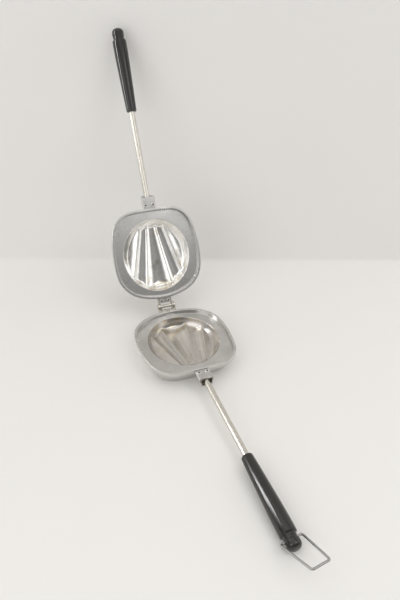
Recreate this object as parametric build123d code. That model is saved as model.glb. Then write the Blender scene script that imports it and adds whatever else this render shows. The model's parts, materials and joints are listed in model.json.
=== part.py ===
from build123d import *
import os
from math import asin, atan, degrees, radians, tan

# A pie iron: two cast heads with shell-shaped cavities, hinged together, on long steel handles with
# moulded grips, and a wire loop on the lower grip that hooks over the upper one.
#
# Millimetres, +Z up. Each half is drawn as the lower one lies: open side up, hinge axis along X at y = 0,
# handle toward -Y, and z = 0 the face where the halves meet. "Reach" is the distance from the hinge axis
# toward the handle. The part's origin is the middle of the lower head's flat base.

# Heads
HEAD_WIDTH = 115.0
HEAD_DEPTH = 24.0
HEAD_NEAR = 10.4  # reach of the rim on the hinge side
HEAD_FAR = 127.0  # reach of the rim on the handle side
WIDEST_REACH = 66.0
HINGE_CROWN = 88.0  # radii of the four shallow sides and of the corners between them
HANDLE_CROWN = 390.0
SIDE_CROWN = 150.0
HINGE_CORNER = 40.0
HANDLE_CORNER = 30.0
MEETING_GAP = 0.3  # left between the closed rims
RIM_WIDTH = 3.3
RIM_EDGE = 0.7
RIM_BAND = 4.5  # height of the upright band below the rim
WALL_DRAFT = 23.0  # degrees from upright, at the sides
BASE_STRETCH = 1.025  # the base is this much longer than an even draft gives, and set back to the hinge
BASE_SHIFT = 8.4
BASE_EDGE = 1.5
FOOT_WIDTH = 6.0  # of the rim that a head stands on, round a shallow recess
FOOT_HEIGHT = 2.4
LEDGE_DEPTH = 5.0
LEDGE_DRAFT = 6.0

# Shell cavity
CAVITY_WIDTH = 87.0
CAVITY_LENGTH = 92.0
CAVITY_REACH = 67.0
BOWL_STEPS = ((-1.5, -0.8), (0.0, 0.0), (4.0, 2.2), (8.0, 5.2), (11.5, 9.2), (14.5, 16.5))  # depth, inset
BOWL_LEAN = 0.36  # how far the bowl's floor is set toward the hinge, of its depth
INNER_FAN = 0.14  # how fast the crests spread toward the hinge, and the reach where they would meet
INNER_MEET = 144.0
OUTER_FAN = 0.262
OUTER_MEET = 168.0
CREST_WIDTH = 2.0
CREST_RISE = 0.45
CREST_DEPTH = 14.4  # below the meeting face, at the deepest reach
DEEPEST_REACH = 55.0
FLOOR_CURVE = 0.0006
OUTER_LIFT = 2.3  # outer crests lie this much higher than the inner ones
FLUTE_SAG = 0.15  # of the width between two crests
FLOOR_STATIONS = 5

# Handle lug, sleeve and shank
LUG_TOP = 2.8
SLEEVE_TOP = 1.5
SLEEVE_TOP_WIDTH = 18.9
SLEEVE_BASE_WIDTH = 12.6
SLEEVE_DEPTH = 10.4
SLEEVE_WALL = 1.3
SLEEVE_CORNER = 2.0
SLEEVE_START = 127.4
SLEEVE_END = 141.0
SLEEVE_LIP = 2.6  # the sleeve's underside runs this much further than its top
LUG_END = 137.5
SHANK_DIAMETER = 7.0
SHANK_DEPTH = 6.85  # of the shank's axis below the meeting face, where it leaves the sleeve
SHANK_SLOPE = 0.044
SHANK_START = 129.5
SHANK_END = 344.0

# Grip
GRIP_START = 248.6
GRIP_END = 350.0
GRIP_NECK = 12.4
GRIP_SWELL = 17.2
SWELL_REACH = 330.0
SHOULDER_REACH = 336.4
GROOVE_DIAMETER = 14.2
GROOVE_WIDTH = 4.6
NOSE_DIAMETER = 15.0
NOSE_ROUND = 5.0

# Wire loop
WIRE = 2.2
LOOP_LENGTH = 40.8
LOOP_NEAR_WIDTH = 22.2
LOOP_FAR_WIDTH = 18.4
LOOP_REACH = 340.0
LOOP_RAISE = 25.0  # degrees above level as it stands
LOOP_SKEW = 8.0  # degrees that its cross hole lies out of square
LOOP_BEND = 2.2
LOOP_TAIL = 4.5  # how far each end reaches inside the grip
WIRE_FIT = 0.08

# Hinge
OPEN_ANGLE = 119.0
PIN_DIAMETER = 4.0
PIN_HEAD = 6.4
PIN_HEAD_HEIGHT = 1.2
PIN_FIT = 0.05
LEAF_SHEET = 1.5
LOWER_LEAF_WIDTH = 21.0
UPPER_LEAF_WIDTH = 17.4
LEAF_START = 4.6
LEAF_END = 10.0
LEAF_TOP = 1.3
LEAF_FOOT = 9.2
EAR_RADIUS = 4.2
TOE_LENGTH = 6.6
TOE_WIDTH = 4.0
STOP_GAP = 0.25
HINGE_LUG_WIDTH = 13.6
HINGE_LUG_START = 5.3
HINGE_LUG_FOOT = 8.6

# Rivets
RIVET_SHAFT = 2.4
HANDLE_RIVET_HEAD = 5.0
HINGE_RIVET_HEAD = 4.4
RIVET_RISE = 1.0
RIVET_DIMPLE = 1.7
HANDLE_RIVET_SPREAD = 4.93
HANDLE_RIVET_REACH = 131.2
HANDLE_RIVET_FOOT = 7.0
HINGE_RIVET_SPREAD = 4.6
HINGE_RIVET_REACH = 7.3
HINGE_RIVET_FOOT = 7.6

BASE_REACH = (HEAD_NEAR + HEAD_FAR) / 2
LOWER = Pos(0, BASE_REACH, HEAD_DEPTH)
UPPER = LOWER * Rotation(-OPEN_ANGLE, 0, 0) * Rotation(0, 180, 0)


def shank_depth(reach):
    """Depth of the handle's axis below the meeting face at one reach."""
    return SHANK_DEPTH + SHANK_SLOPE * (reach - SLEEVE_END)


def along_handle(reach):
    """Plane square to the handle's axis at one reach, its normal toward the grip's end."""
    origin = (0, -reach, -shank_depth(reach))
    return Plane(origin=origin, x_dir=(1, 0, 0), z_dir=(0, -1, -SHANK_SLOPE))


def head_outline(inset=0.0):
    """Rounded square of four shallow crowns, its corners tighter on the handle side."""
    side_centre = SIDE_CROWN - HEAD_WIDTH / 2
    hinge_side = Pos(0, -HEAD_NEAR - HINGE_CROWN) * Circle(HINGE_CROWN - inset)
    handle_side = Pos(0, HANDLE_CROWN - HEAD_FAR) * Circle(HANDLE_CROWN - inset)
    left = Pos(side_centre, -WIDEST_REACH) * Circle(SIDE_CROWN - inset)
    right = Pos(-side_centre, -WIDEST_REACH) * Circle(SIDE_CROWN - inset)
    outline = hinge_side & handle_side & left & right
    outline = fillet(outline.vertices().sort_by(Axis.Y)[:2], HANDLE_CORNER - inset)
    return fillet(outline.vertices().sort_by(Axis.Y)[-2:], HINGE_CORNER - inset)


def base_outline(inset):
    """Outline of the base, so that the wall is steep on the hinge side and leans most toward the handle."""
    return Pos(0, BASE_SHIFT) * scale(head_outline(inset), (1, BASE_STRETCH, 1))


def between(top, upper_outline, foot, lower_outline):
    """Solid between two outlines, each at its own height."""
    return loft([Pos(0, 0, top) * upper_outline, Pos(0, 0, foot) * lower_outline])


def flute_section(reach):
    """Section across the fluted floor: five hollows between four rounded crests, open above."""
    depth = CREST_DEPTH - FLOOR_CURVE * (reach - DEEPEST_REACH) ** 2
    inner = (INNER_FAN * (INNER_MEET - reach), -depth)
    outer = (OUTER_FAN * (OUTER_MEET - reach), OUTER_LIFT - depth)
    beyond = (CAVITY_WIDTH / 2 + outer[0] / 2, 2.5 * OUTER_LIFT - depth)
    crests = [(-outer[0], outer[1]), (-inner[0], inner[1]), inner, outer]
    half = CREST_WIDTH / 2
    lines = []
    start = (-beyond[0], beyond[1])
    for crest in crests:
        end = (crest[0] - half, crest[1])
        sag = FLUTE_SAG * (end[0] - start[0])
        middle = ((start[0] + end[0]) / 2, (start[1] + end[1]) / 2 - sag)
        lines.append(ThreePointArc(start, middle, end))
        start = (crest[0] + half, crest[1])
        lines.append(ThreePointArc(end, (crest[0], crest[1] + CREST_RISE), start))
    middle = ((start[0] + beyond[0]) / 2, (start[1] + beyond[1]) / 2 - FLUTE_SAG * (beyond[0] - start[0]))
    lines.append(ThreePointArc(start, middle, beyond))
    lines.append(Polyline(beyond, (beyond[0], 5), (-beyond[0], 5), (-beyond[0], beyond[1])))
    return Plane.XZ.offset(reach) * make_face(lines)


def shell_cavity():
    """What the shell leaves open in a head: a fluted fan, kept inside a steep-sided bowl."""
    spread = CAVITY_LENGTH + 12
    first = CAVITY_REACH - spread / 2
    fan = loft([flute_section(first + spread * i / (FLOOR_STATIONS - 1)) for i in range(FLOOR_STATIONS)])
    rings = []
    for depth, inset in BOWL_STEPS:
        ring = Ellipse(CAVITY_WIDTH / 2 - inset, CAVITY_LENGTH / 2 - inset)
        rings.append(Pos(0, BOWL_LEAN * max(depth, 0) - CAVITY_REACH, -LEDGE_DEPTH - depth) * ring)
    return fan & loft(rings)


def sleeve_profile(inset=0.0):
    """Section of the handle sleeve: a band folded wide at the top and narrow below."""
    top = -SLEEVE_TOP - inset
    base = -SLEEVE_TOP - SLEEVE_DEPTH + inset
    lean = (SLEEVE_TOP_WIDTH - SLEEVE_BASE_WIDTH) / 2 / SLEEVE_DEPTH
    half_top = SLEEVE_TOP_WIDTH / 2 - inset * (1 + lean)
    half_base = SLEEVE_BASE_WIDTH / 2 - inset * (1 - lean)
    corners = [(-half_top, top), (half_top, top), (half_base, base), (-half_base, base)]
    profile = make_face(Polyline(*corners, close=True))
    return fillet(profile.vertices(), SLEEVE_CORNER - min(inset, SLEEVE_CORNER - 0.5))


def along_y(sketch, start, end):
    """Solid of a section drawn in X and Z, from one reach to another."""
    return extrude(Plane.XZ.offset(start) * sketch, end - start)


def shank_rod(diameter, start, end):
    """Round bar on the handle's axis."""
    return extrude(along_handle(start) * Circle(diameter / 2), end - start)


def handle_lug():
    """Cast block behind the rim that fills the sleeve and takes the shank in a socket."""
    block = along_y(sleeve_profile(SLEEVE_WALL + 0.05), HEAD_FAR - 8, LUG_END)
    return block - shank_rod(SHANK_DIAMETER + 0.06, SHANK_START - 0.3, LUG_END + 5)


def hinge_lug():
    """Cast block on the hinge side that carries the leaf."""
    height = HINGE_LUG_FOOT - LUG_TOP
    middle = Pos(0, -LUG_TOP - height / 2)
    return along_y(middle * Rectangle(HINGE_LUG_WIDTH, height), HINGE_LUG_START, HEAD_NEAR + 9)


def rivet_holes(spread, reach, foot, fit=0.02):
    """The two holes of a pair of rivets, down to the rivets' foot."""
    holes = [Pos(side * spread, -reach, -foot / 2) * Cylinder(RIVET_SHAFT / 2 + fit, foot) for side in (-1, 1)]
    return holes[0] + holes[1]


def head():
    """One casting: walls, rim, ledge, shell cavity, foot and the two lugs."""
    rim_face = -MEETING_GAP / 2
    band_foot = rim_face - RIM_BAND
    base_inset = (HEAD_DEPTH + band_foot) * tan(radians(WALL_DRAFT))
    ledge_inset = RIM_WIDTH + LEDGE_DEPTH * tan(radians(LEDGE_DRAFT))
    body = extrude(Pos(0, 0, rim_face) * head_outline(), -RIM_BAND)
    body += between(band_foot, head_outline(), -HEAD_DEPTH, base_outline(base_inset))
    body = fillet(body.faces().sort_by(Axis.Z)[0].edges(), BASE_EDGE)
    foot_inset = base_inset + FOOT_WIDTH
    recess_top = FOOT_HEIGHT - HEAD_DEPTH
    body -= between(recess_top, base_outline(foot_inset + FOOT_HEIGHT), -HEAD_DEPTH, base_outline(foot_inset))
    body -= between(0, head_outline(RIM_WIDTH), -LEDGE_DEPTH, head_outline(ledge_inset))
    body = fillet(body.faces().sort_by(Axis.Z)[-1].edges(), RIM_EDGE)
    inside = extrude(head_outline(RIM_WIDTH), -HEAD_DEPTH)
    body += handle_lug() - inside
    body += hinge_lug() - inside
    body -= shell_cavity()
    body -= rivet_holes(HANDLE_RIVET_SPREAD, HANDLE_RIVET_REACH, HANDLE_RIVET_FOOT)
    return body - rivet_holes(HINGE_RIVET_SPREAD, HINGE_RIVET_REACH, HINGE_RIVET_FOOT)


def handle_sleeve():
    """Folded steel sleeve over the lug, its mouth cut back at the top."""
    longest = SLEEVE_END + SLEEVE_LIP
    sleeve = along_y(sleeve_profile() - sleeve_profile(SLEEVE_WALL), SLEEVE_START, longest)
    mouth = Polyline((-longest - 1, 0), (-SLEEVE_END, 0), (-longest, -SLEEVE_DEPTH - SLEEVE_TOP), (-longest - 1, -20),
                     close=True)
    sleeve -= extrude(Plane.YZ * make_face(mouth), SLEEVE_TOP_WIDTH, both=True)
    return sleeve - rivet_holes(HANDLE_RIVET_SPREAD, HANDLE_RIVET_REACH, HANDLE_RIVET_FOOT)


def shank():
    """Straight steel rod from the lug's socket into the grip."""
    return shank_rod(SHANK_DIAMETER, SHANK_START, SHANK_END)


def cross_hole(diameter):
    """Bar on the axis that the loop swings on."""
    turn = Pos(0, -LOOP_REACH, -shank_depth(LOOP_REACH)) * Rotation(0, 0, LOOP_SKEW)
    return turn * Rotation(0, 90, 0) * Cylinder(diameter / 2, GRIP_SWELL + 4)


def grip():
    """Moulded grip: a slow swell, a groove that the loop drops into, and a rounded nose."""
    length = GRIP_END - GRIP_START
    swell = SWELL_REACH - GRIP_START
    shoulder = SHOULDER_REACH - GRIP_START
    groove_end = shoulder + GROOVE_WIDTH
    neck_edge = 1.2
    groove = GROOVE_DIAMETER / 2
    nose = NOSE_DIAMETER / 2
    points = [(0, 0), (GRIP_NECK / 2 - neck_edge, 0), (GRIP_NECK / 2, neck_edge)]
    side = [
        Polyline(*points[:2]),
        RadiusArc(points[1], points[2], -neck_edge),
        Spline(points[2], (GRIP_NECK / 2 + 0.62 * (GRIP_SWELL - GRIP_NECK) / 2, 0.5 * swell),
               (GRIP_SWELL / 2, swell), tangents=((0.05, 1), (0, 1))),
        Line((GRIP_SWELL / 2, swell), (GRIP_SWELL / 2 - 0.2, shoulder - 1.2)),
        Line((GRIP_SWELL / 2 - 0.2, shoulder - 1.2), (groove, shoulder)),
        Line((groove, shoulder), (groove, groove_end)),
        Line((groove, groove_end), (nose, groove_end + 0.6)),
        Line((nose, groove_end + 0.6), (nose, length - NOSE_ROUND)),
        RadiusArc((nose, length - NOSE_ROUND), (nose - NOSE_ROUND, length), -NOSE_ROUND),
        Polyline((nose - NOSE_ROUND, length), (0, length), (0, 0)),
    ]
    start = along_handle(GRIP_START)
    turned = Plane(origin=start.origin, x_dir=(1, 0, 0), z_dir=start.x_dir.cross(start.z_dir))
    body = revolve(turned * make_face(side), Axis(start.origin, start.z_dir))
    body -= shank_rod(SHANK_DIAMETER + 0.06, GRIP_START - 5, SHANK_END + 1)
    return body - cross_hole(WIRE + 2 * WIRE_FIT)


def latch_loop():
    """Wire bail: both ends turned into the grip's cross hole, drawn level and then raised."""
    near = LOOP_NEAR_WIDTH / 2
    far = LOOP_FAR_WIDTH / 2
    inside = near - LOOP_BEND - LOOP_TAIL
    corners = [(inside, 0), (near, 0), (far, -LOOP_LENGTH), (-far, -LOOP_LENGTH), (-near, 0), (-inside, 0)]
    path = FilletPolyline(*corners, radius=LOOP_BEND)
    start = Plane(origin=(inside, 0, 0), z_dir=(1, 0, 0))
    wire = sweep(start * Circle(WIRE / 2), path=path)
    raised = Rotation(-LOOP_RAISE, 0, 0) * wire
    return Pos(0, -LOOP_REACH, -shank_depth(LOOP_REACH)) * Rotation(0, 0, LOOP_SKEW) * raised


def toe_angle():
    """Direction of the stop toe, from the handle side: its flank meets the lower web when fully open."""
    corner_reach = (LEAF_START**2 + (LEAF_TOP + LEAF_SHEET) ** 2) ** 0.5
    corner_angle = degrees(atan((LEAF_TOP + LEAF_SHEET) / LEAF_START))
    flank_angle = degrees(asin((TOE_WIDTH / 2 + STOP_GAP) / corner_reach))
    return OPEN_ANGLE + corner_angle + flank_angle - 180


def ear_profile(with_toe):
    """Side of a leaf in reach and height: a flange below the web that ends in a round ear."""
    ring = Circle(EAR_RADIUS)
    flange = make_face(Polyline((0, -EAR_RADIUS), (LEAF_END, -LEAF_FOOT), (LEAF_END, -LEAF_TOP),
                                (LEAF_START, -LEAF_TOP), (EAR_RADIUS, 0), (0, 0), close=True))
    side = ring + flange
    if with_toe:
        toe = Pos(-TOE_LENGTH / 2, 0) * Rectangle(TOE_LENGTH, TOE_WIDTH)
        side += Rotation(0, 0, toe_angle()) * toe
    return side


def hinge_leaf(width, pin_fit, with_toe):
    """Folded leaf: a web riveted on the lug and two flanges that carry the pin in their ears."""
    facing = Plane(origin=(0, 0, 0), x_dir=(0, -1, 0), z_dir=(-1, 0, 0))
    side = facing * ear_profile(with_toe)
    blank = extrude(side, width / 2, both=True)
    inner = width / 2 - LEAF_SHEET
    blank -= Pos(0, -LEAF_START - 25, -LEAF_TOP - LEAF_SHEET - 25) * Box(2 * inner, 50, 50)
    blank -= Pos(0, -LEAF_START + 25, 0) * Box(2 * inner, 50, 50)
    blank -= Rotation(0, 90, 0) * Cylinder(PIN_DIAMETER / 2 + pin_fit, width + 2)
    return blank - rivet_holes(HINGE_RIVET_SPREAD, HINGE_RIVET_REACH, HINGE_RIVET_FOOT)


def hinge_pin():
    """Pin through all four ears, headed at both ends."""
    pin = Cylinder(PIN_DIAMETER / 2, LOWER_LEAF_WIDTH + 2 * PIN_HEAD_HEIGHT)
    for side in (-1, 1):
        ring = Pos(0, 0, side * (LOWER_LEAF_WIDTH + PIN_HEAD_HEIGHT) / 2) * Cylinder(PIN_HEAD / 2, PIN_HEAD_HEIGHT)
        outer_edge = ring.edges().sort_by(Axis.Z)[-1 if side > 0 else 0]
        pin += fillet(outer_edge, 0.6)
    return Rotation(0, 90, 0) * pin


def rivets(spread, reach, head, top, foot):
    """Pair of rivets with domed heads, dimpled where they were set."""
    rise = RIVET_RISE
    face = -top
    edge = head / 2
    profile = make_face([
        Polyline((0, face + rise - 0.5), (RIVET_DIMPLE / 2, face + rise), (edge - rise * 0.7, face + rise)),
        RadiusArc((edge - rise * 0.7, face + rise), (edge, face + 0.15), -rise),
        Polyline((edge, face + 0.15), (edge, face), (RIVET_SHAFT / 2, face),
                 (RIVET_SHAFT / 2, -foot), (0, -foot), (0, face + rise - 0.5)),
    ])
    rivet = revolve(Plane.XZ * profile, Axis.Z)
    return Compound(children=[Pos(side * spread, -reach) * rivet for side in (-1, 1)])


def half(prefix, place, leaf_width, pin_fit, with_toe):
    """The pieces of one half, named and set in place."""
    handle = (HANDLE_RIVET_SPREAD, HANDLE_RIVET_REACH, HANDLE_RIVET_HEAD, SLEEVE_TOP, HANDLE_RIVET_FOOT)
    hinge = (HINGE_RIVET_SPREAD, HINGE_RIVET_REACH, HINGE_RIVET_HEAD, LEAF_TOP, HINGE_RIVET_FOOT)
    pieces = {
        "head": head(),
        "handle_sleeve": handle_sleeve(),
        "handle_rivets": rivets(*handle),
        "shank": shank(),
        "grip": grip(),
        "hinge_leaf": hinge_leaf(leaf_width, pin_fit, with_toe),
        "hinge_rivets": rivets(*hinge),
    }
    return {f"{prefix}_{name}": place * piece for name, piece in pieces.items()}


parts = half("lower", LOWER, LOWER_LEAF_WIDTH, 0.01, with_toe=False)
parts |= half("upper", UPPER, UPPER_LEAF_WIDTH, PIN_FIT, with_toe=True)
parts["hinge_pin"] = LOWER * hinge_pin()
parts["latch_loop"] = LOWER * latch_loop()

os.makedirs("parts", exist_ok=True)
for name, shape in parts.items():
    export_step(shape, f"parts/{name}.step")
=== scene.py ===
import json
from math import acos, atan2, cos, hypot, pi, radians, sin, tan

import bmesh
import bpy
import numpy as np
from bpy.props import FloatProperty, FloatVectorProperty, PointerProperty
from mathutils import Matrix, Vector

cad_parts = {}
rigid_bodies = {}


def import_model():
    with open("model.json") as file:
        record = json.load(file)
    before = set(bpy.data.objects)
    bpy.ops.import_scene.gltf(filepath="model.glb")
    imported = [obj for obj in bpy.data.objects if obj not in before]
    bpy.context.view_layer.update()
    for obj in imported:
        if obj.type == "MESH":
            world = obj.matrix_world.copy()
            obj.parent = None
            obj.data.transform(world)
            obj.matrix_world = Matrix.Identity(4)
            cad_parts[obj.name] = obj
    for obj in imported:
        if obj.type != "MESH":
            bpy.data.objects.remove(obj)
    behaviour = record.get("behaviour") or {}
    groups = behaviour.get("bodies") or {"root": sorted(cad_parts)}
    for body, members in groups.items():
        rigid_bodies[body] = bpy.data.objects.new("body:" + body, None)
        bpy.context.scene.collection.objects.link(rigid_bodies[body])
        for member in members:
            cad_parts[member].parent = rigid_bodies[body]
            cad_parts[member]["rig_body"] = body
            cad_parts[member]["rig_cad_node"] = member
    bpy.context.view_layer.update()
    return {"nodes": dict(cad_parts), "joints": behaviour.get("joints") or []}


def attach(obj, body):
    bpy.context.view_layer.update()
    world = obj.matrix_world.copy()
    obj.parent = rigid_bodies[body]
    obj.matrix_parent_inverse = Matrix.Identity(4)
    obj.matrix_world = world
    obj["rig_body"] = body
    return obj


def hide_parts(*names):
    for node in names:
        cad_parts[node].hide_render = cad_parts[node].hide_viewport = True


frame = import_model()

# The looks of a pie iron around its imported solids. Metres throughout. Each half is drawn as the lower one
# lies, open side up, with the hinge axis along X at the origin and the handle toward -Y; z = 0 is the face
# where the halves meet. "Reach" is the distance from the hinge axis toward the handle.

bl_info = {
    "name": "Pie Iron",
    "version": (1, 0, 0),
    "blender": (4, 5, 0),
    "location": "View3D > Sidebar > Pie Iron",
    "description": "Models a hinged pie iron with shell-shaped cavities around its packed solids",
    "category": "Object",
}

HINGE = next(joint for joint in frame["joints"] if joint["name"] == "head_hinge")
LOOP = next(joint for joint in frame["joints"] if joint["name"] == "loop_swing")
LOWER = Matrix.Translation(HINGE["pos_m"])
UPPER = LOWER @ Matrix.Rotation(radians(-HINGE["range_deg"][1]), 4, "X") @ Matrix.Rotation(pi, 4, "Y")
HALVES = {"lower": LOWER, "upper": UPPER}


def length(name, description, millimetres):
    """A length that a user may change, given in millimetres and kept in metres."""
    return FloatProperty(name=name, description=description, default=millimetres / 1000, subtype="DISTANCE",
                         unit="LENGTH", precision=4)


def colour(name, description, default):
    """A colour that a user may change."""
    return FloatVectorProperty(name=name, description=description, default=default, size=3, min=0, max=1,
                               subtype="COLOR")


class HeadSizes(bpy.types.PropertyGroup):
    """Sizes of the two cast heads."""

    width: length("Width", "Across the rim", 115.0)
    depth: length("Depth", "From the meeting face to the foot", 24.0)
    near: length("Hinge side", "Reach of the rim on the hinge side", 10.4)
    far: length("Handle side", "Reach of the rim on the handle side", 127.0)
    widest: length("Widest reach", "Reach at which the head is widest", 66.0)
    hinge_crown: length("Hinge crown", "Radius of the shallow side toward the hinge", 88.0)
    handle_crown: length("Handle crown", "Radius of the shallow side toward the handle", 390.0)
    side_crown: length("Side crown", "Radius of the two shallow sides", 150.0)
    hinge_corner: length("Hinge corners", "Radius of the corners toward the hinge", 40.0)
    handle_corner: length("Handle corners", "Radius of the corners toward the handle", 30.0)
    gap: length("Meeting gap", "Left between the closed rims", 0.3)
    rim: length("Rim width", "Width of the flat rim", 3.3)
    rim_edge: length("Rim edge", "Rounding of the rim's two edges", 0.7)
    band: length("Rim band", "Height of the upright band below the rim", 4.5)
    base_shift: length("Base shift", "How far the base is set back toward the hinge", 8.4)
    base_edge: length("Base edge", "Rounding where the wall meets the foot", 1.5)
    foot: length("Foot width", "Width of the rim that the head stands on", 6.0)
    recess: length("Recess", "Height of the hollow inside the foot", 2.4)
    ledge: length("Ledge depth", "Depth of the flat ledge below the meeting face", 5.0)


class ShellSizes(bpy.types.PropertyGroup):
    """Sizes of the shell-shaped cavity."""

    width: length("Width", "Across the cavity's mouth", 87.0)
    length: length("Length", "Along the cavity's mouth", 92.0)
    reach: length("Reach", "Reach of the cavity's middle", 67.0)
    inner_meet: length("Inner crests meet", "Reach at which the inner crests would meet", 144.0)
    outer_meet: length("Outer crests meet", "Reach at which the outer crests would meet", 168.0)
    crest_width: length("Crest width", "Width of the rounded crests", 2.0)
    crest_rise: length("Crest rise", "Height of the rounding on a crest", 0.45)
    crest_depth: length("Crest depth", "Depth of the inner crests below the meeting face", 14.4)
    deepest: length("Deepest reach", "Reach at which the floor is deepest", 55.0)
    outer_lift: length("Outer lift", "How much higher the outer crests lie", 2.3)
    lean: FloatProperty(name="Lean", description="How far the floor is set toward the hinge, of its depth",
                        default=0.36, min=0, max=0.45)


class HandleSizes(bpy.types.PropertyGroup):
    """Sizes of the shanks and grips."""

    shank: length("Shank diameter", "Diameter of the steel rod", 7.0)
    shank_start: length("Shank start", "Reach at which the rod starts in its socket", 129.5)
    shank_end: length("Shank end", "Reach at which the rod ends inside the grip", 344.0)
    axis_depth: length("Axis depth", "Depth of the rod's axis where it leaves the sleeve", 6.85)
    sleeve_end: length("Sleeve end", "Reach of the sleeve's mouth", 141.0)
    grip_start: length("Grip start", "Reach at which the grip starts", 248.6)
    grip_end: length("Grip end", "Reach of the grip's nose", 350.0)
    neck: length("Neck", "Diameter of the grip at its start", 12.4)
    swell: length("Swell", "Largest diameter of the grip", 17.2)
    swell_reach: length("Swell reach", "Reach at which the grip is widest", 330.0)
    shoulder: length("Shoulder", "Reach at which the groove starts", 336.4)
    groove: length("Groove", "Diameter in the groove", 13.4)
    groove_width: length("Groove width", "Width of the groove", 4.6)
    nose: length("Nose", "Diameter of the nose", 14.4)
    nose_round: length("Nose rounding", "Rounding of the nose", 5.0)


class LoopSizes(bpy.types.PropertyGroup):
    """Sizes of the wire loop on the lower grip."""

    wire: length("Wire", "Diameter of the wire", 2.2)
    length: length("Length", "From the cross hole to the bar", 40.8)
    near: length("Near width", "Between the legs' middles at the grip", 23.4)
    far: length("Far width", "Between the legs' middles at the bar", 18.4)
    bend: length("Bend", "Radius of the bends", 2.2)
    tail: length("Tail", "How far each end reaches inside the grip", 4.5)


class HingeSizes(bpy.types.PropertyGroup):
    """Sizes of the hinge pin and the rivets."""

    pin: length("Pin", "Diameter of the hinge pin", 4.0)
    pin_span: length("Pin span", "Between the pin's heads", 21.0)
    pin_head: length("Pin head", "Diameter of the pin's heads", 6.4)
    pin_head_height: length("Pin head height", "Height of the pin's heads", 1.2)
    shaft: length("Rivet shaft", "Diameter of the rivets", 2.4)
    handle_rivet: length("Handle rivet head", "Diameter of the handle rivets' heads", 5.0)
    hinge_rivet: length("Hinge rivet head", "Diameter of the hinge rivets' heads", 4.4)
    rivet_rise: length("Rivet rise", "Height of the rivet heads", 1.0)
    dimple: length("Dimple", "Diameter of the dimple in a rivet head", 2.4)
    dimple_depth: length("Dimple depth", "Depth of the dimple in a rivet head", 0.9)
    handle_spread: length("Handle rivets", "From the middle to each handle rivet", 4.93)
    handle_reach: length("Handle rivet reach", "Reach of the handle rivets", 131.2)
    hinge_spread: length("Hinge rivets", "From the middle to each hinge rivet", 4.6)
    hinge_reach: length("Hinge rivet reach", "Reach of the hinge rivets", 7.3)


class Finishes(bpy.types.PropertyGroup):
    """Colours of the finishes."""

    aluminium: colour("Aluminium", "Cast and machined aluminium", (0.68, 0.67, 0.65))
    polished: colour("Polished aluminium", "Hand-polished shells", (0.88, 0.87, 0.85))
    tarnished: colour("Tarnished aluminium", "The lower shell, dulled by use", (0.58, 0.555, 0.525))
    nickel: colour("Nickel", "Plated steel of the shanks", (0.68, 0.65, 0.59))
    sleeve: colour("Sleeve", "Pressed steel of the handle sleeves", (0.60, 0.59, 0.57))
    wire: colour("Wire", "Drawn steel wire", (0.42, 0.41, 0.40))
    phenolic: colour("Phenolic", "Moulded black grips", (0.016, 0.014, 0.012))


class StageSizes(bpy.types.PropertyGroup):
    """The floor, the backdrop, the lamps and the camera."""

    paper: colour("Paper", "Floor and backdrop", (0.90, 0.887, 0.868))
    lens: FloatProperty(name="Lens", description="Focal length on a 36 mm sensor", default=34.07,
                        unit="CAMERA")
    room: FloatProperty(name="Room light", description="Strength of the light from the room", default=1.35,
                        min=0)
    left: FloatProperty(name="Left lamp", description="Power of the low soft lamp on the left", default=5.2,
                        min=0, unit="POWER")
    right: FloatProperty(name="Right lamp", description="Power of the low soft lamp on the right",
                         default=2.4, min=0, unit="POWER")
    high: FloatProperty(name="High lamp", description="Power of the soft lamp above the camera", default=2.0,
                        min=0, unit="POWER")
    window: FloatProperty(name="Window", description="Power of the narrow window that only glosses the grips",
                          default=4.5, min=0, unit="POWER")


class PieIron(bpy.types.PropertyGroup):
    """Everything a user would change."""

    head: PointerProperty(type=HeadSizes)
    shell: PointerProperty(type=ShellSizes)
    handle: PointerProperty(type=HandleSizes)
    loop: PointerProperty(type=LoopSizes)
    hinge: PointerProperty(type=HingeSizes)
    finish: PointerProperty(type=Finishes)
    stage: PointerProperty(type=StageSizes)


# ---------------------------------------------------------------- working by hand

def deselect_all():
    """Leaves object mode with nothing selected."""
    if bpy.context.object and bpy.context.object.mode != "OBJECT":
        bpy.ops.object.mode_set(mode="OBJECT")
    bpy.ops.object.select_all(action="DESELECT")


def pick(obj):
    """Makes one object the only selected and the active one."""
    deselect_all()
    obj.select_set(True)
    bpy.context.view_layer.objects.active = obj


def named(name):
    """Names the active object and its mesh."""
    obj = bpy.context.object
    obj.name = name
    obj.data.name = name
    return obj


def edit():
    bpy.ops.object.mode_set(mode="EDIT")
    bpy.ops.mesh.select_all(action="SELECT")


def leave_edit():
    bpy.ops.object.mode_set(mode="OBJECT")


def tidy_mesh(obj, distance=1e-6):
    """Merges doubled points and turns the faces outward."""
    pick(obj)
    edit()
    bpy.ops.mesh.remove_doubles(threshold=distance)
    bpy.ops.mesh.normals_make_consistent(inside=False)
    leave_edit()


def apply_modifier(obj, kind, **settings):
    """Adds one modifier and applies it."""
    pick(obj)
    bpy.ops.object.modifier_add(type=kind)
    modifier = obj.modifiers[-1]
    for key, value in settings.items():
        setattr(modifier, key, value)
    bpy.ops.object.modifier_apply(modifier=modifier.name)


def soften_edges(obj, width, segments=2, angle=30):
    """Rounds the sharp edges, then shades the piece smoothly between the ones that are left."""
    apply_modifier(obj, "BEVEL", width=width, segments=segments, limit_method="ANGLE",
                   angle_limit=radians(angle), harden_normals=False)
    shade(obj)


def shade(obj, angle=35):
    """Smooth shading, with the large flat faces kept flat."""
    pick(obj)
    bpy.ops.object.shade_smooth_by_angle(angle=radians(angle))
    apply_modifier(obj, "WEIGHTED_NORMAL", keep_sharp=True, weight=80)


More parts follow.
